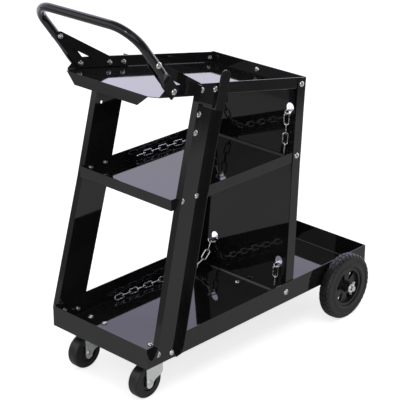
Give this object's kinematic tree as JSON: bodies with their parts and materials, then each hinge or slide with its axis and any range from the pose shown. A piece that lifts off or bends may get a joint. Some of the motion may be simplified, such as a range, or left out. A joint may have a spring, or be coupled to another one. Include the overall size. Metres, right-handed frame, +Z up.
{
  "type": "welding cart",
  "caption": "Black sheet-metal welding cart with a sloping top tray, a shelf, a long bottom tray, push handle, swivel casters, large rear wheels and chains for gas cylinders.",
  "frame": {"origin": "on the ground, under the middle of the overall length and width", "axes": "+X from the handle end to the large wheels, +Y to the left side of someone pushing at the handle and looking along +X, +Z up"},
  "size_m": [0.7374, 0.3741, 0.8138],
  "materials": {
    "black_paint": "glossy black powder coat",
    "tyre_rubber": "black rubber, dull",
    "caster_rubber": "black rubber, smooth",
    "wheel_plastic": "moulded, dark grey",
    "zinc_sheet": "zinc plated, satin",
    "chain_zinc": "zinc plated wire",
    "bare_steel": "turned",
    "zinc_fasteners": "zinc plated"
  },
  "bodies": {
    "frame": {"bottom_tray": "black_paint", "middle_shelf": "black_paint", "top_tray": "black_paint", "back_panel": "black_paint", "front_leg_right": "black_paint", "front_leg_left": "black_paint", "handle_tube": "black_paint", "handle_bracket_right": "black_paint", "handle_bracket_left": "black_paint", "cable_hook": "black_paint", "hook_bolts": "zinc_fasteners", "hook_nuts": "zinc_fasteners", "leg_bolts": "zinc_fasteners", "leg_nuts": "zinc_fasteners", "handle_bolts": "zinc_fasteners", "handle_nuts": "zinc_fasteners", "panel_bolts": "zinc_fasteners", "panel_nuts": "zinc_fasteners", "caster_bolts": "zinc_fasteners", "caster_nuts": "zinc_fasteners", "axle_bracket_right": "black_paint", "axle_bracket_left": "black_paint", "axle_shaft": "bare_steel", "axle_washers": "zinc_fasteners", "split_pins": "zinc_fasteners", "caster_right_plate": "zinc_sheet", "caster_left_plate": "zinc_sheet", "chain_upper_loop": "chain_zinc", "chain_upper_tail_left": "chain_zinc", "chain_lower_loop": "chain_zinc", "chain_lower_tail_left": "chain_zinc"},
    "wheel_right": {"wheel_right_tyre": "tyre_rubber", "wheel_right_rim": "wheel_plastic", "wheel_right_bush": "bare_steel"},
    "wheel_left": {"wheel_left_tyre": "tyre_rubber", "wheel_left_rim": "wheel_plastic", "wheel_left_bush": "bare_steel"},
    "caster_right_swivel": {"caster_right_fork": "zinc_sheet", "caster_right_pin": "zinc_fasteners"},
    "caster_left_swivel": {"caster_left_fork": "zinc_sheet", "caster_left_pin": "zinc_fasteners"},
    "caster_right_wheel": {"caster_right_tyre": "caster_rubber", "caster_right_core": "wheel_plastic"},
    "caster_left_wheel": {"caster_left_tyre": "caster_rubber", "caster_left_core": "wheel_plastic"},
    "chain_upper_hanging": {"chain_upper_tail_right": "chain_zinc"},
    "chain_lower_hanging": {"chain_lower_tail_right": "chain_zinc"}
  },
  "joints": [
    {"name": "wheel_right_spin", "type": "hinge", "parent": "frame", "child": "wheel_right", "pos_m": [0.27367, -0.158, 0.0762], "axis": [0, 1, 0], "continuous": true},
    {"name": "wheel_left_spin", "type": "hinge", "parent": "frame", "child": "wheel_left", "pos_m": [0.27367, 0.158, 0.0762], "axis": [0, 1, 0], "continuous": true},
    {"name": "caster_right_turn", "type": "hinge", "parent": "frame", "child": "caster_right_swivel", "pos_m": [-0.27733, -0.0925, 0.08], "axis": [0, 0, 1], "continuous": true},
    {"name": "caster_right_spin", "type": "hinge", "parent": "caster_right_swivel", "child": "caster_right_wheel", "pos_m": [-0.29533, -0.0925, 0.0374], "axis": [0, 1, 0], "continuous": true},
    {"name": "caster_left_turn", "type": "hinge", "parent": "frame", "child": "caster_left_swivel", "pos_m": [-0.27733, 0.0925, 0.08], "axis": [0, 0, 1], "continuous": true},
    {"name": "caster_left_spin", "type": "hinge", "parent": "caster_left_swivel", "child": "caster_left_wheel", "pos_m": [-0.29533, 0.0925, 0.0374], "axis": [0, 1, 0], "continuous": true},
    {"name": "chain_upper_swing", "type": "hinge", "parent": "frame", "child": "chain_upper_hanging", "pos_m": [0.13227, -0.097, 0.5107], "axis": [0, 1, 0], "range_deg": [0, 50]},
    {"name": "chain_lower_swing", "type": "hinge", "parent": "frame", "child": "chain_lower_hanging", "pos_m": [0.10656, -0.097, 0.16062], "axis": [0, 1, 0], "range_deg": [0, 50]}
  ]
}
